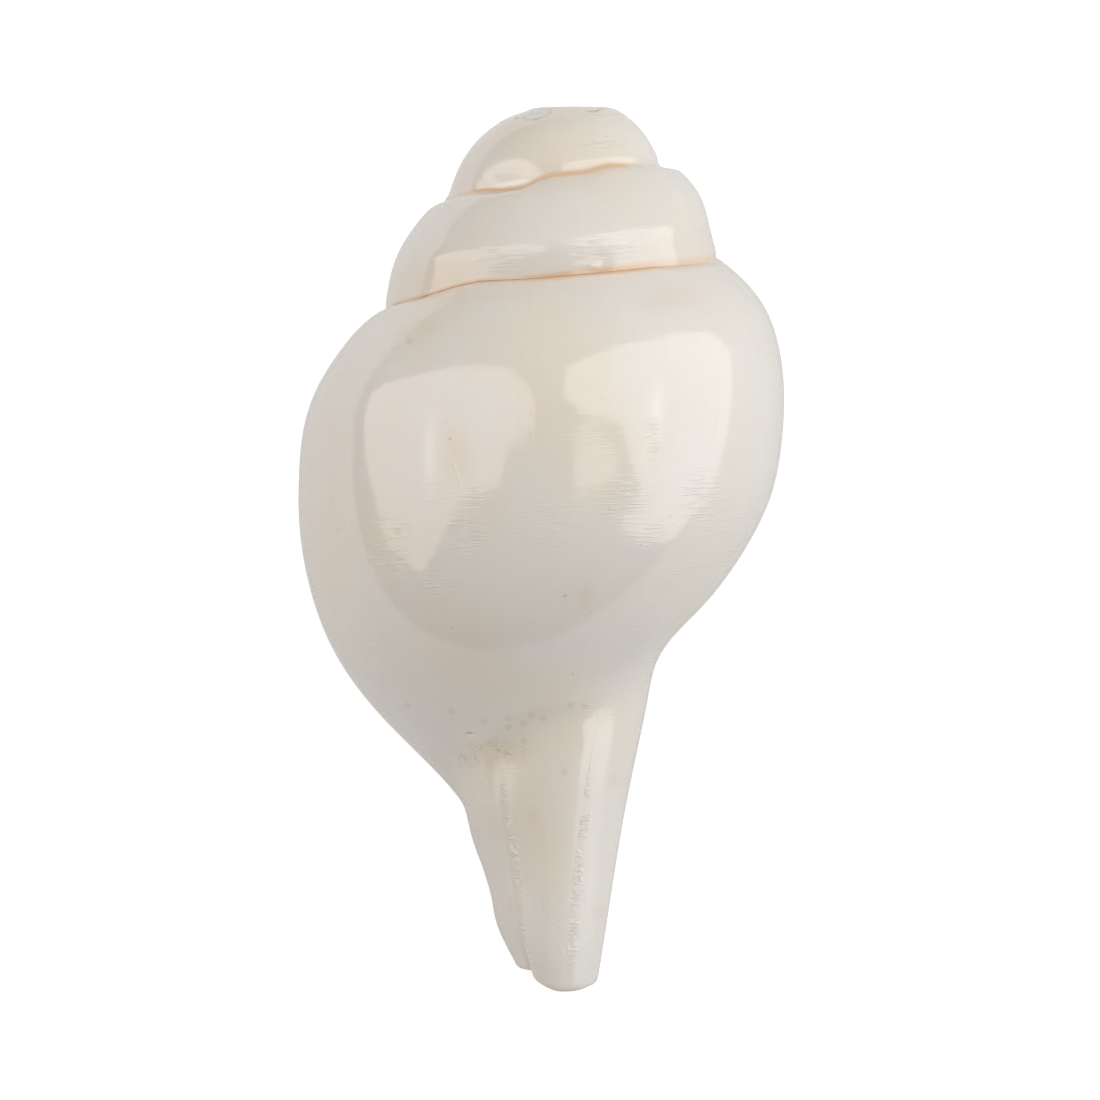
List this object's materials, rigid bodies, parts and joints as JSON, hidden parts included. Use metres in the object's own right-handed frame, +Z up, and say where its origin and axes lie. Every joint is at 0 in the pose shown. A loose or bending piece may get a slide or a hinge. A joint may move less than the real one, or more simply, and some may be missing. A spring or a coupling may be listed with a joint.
{
  "type": "conch shell",
  "caption": "Large polished white spiral sea shell with a low ground-off spire, a swollen body whorl, an open aperture and a long straight canal.",
  "frame": {"origin": "centre of the bounding box's underside, on the floor that the shell lies on", "axes": "+Y runs with the shell's axis towards the apex, seen from above; +Z is up, out of the back of the body whorl; the aperture faces down; +X is the shell's right seen from its back with the apex up"},
  "size_m": [0.0716, 0.1276, 0.0623],
  "materials": {
    "shell": "polished natural shell, warm white"
  },
  "bodies": {
    "root": {"shell": "shell"}
  },
  "joints": []
}
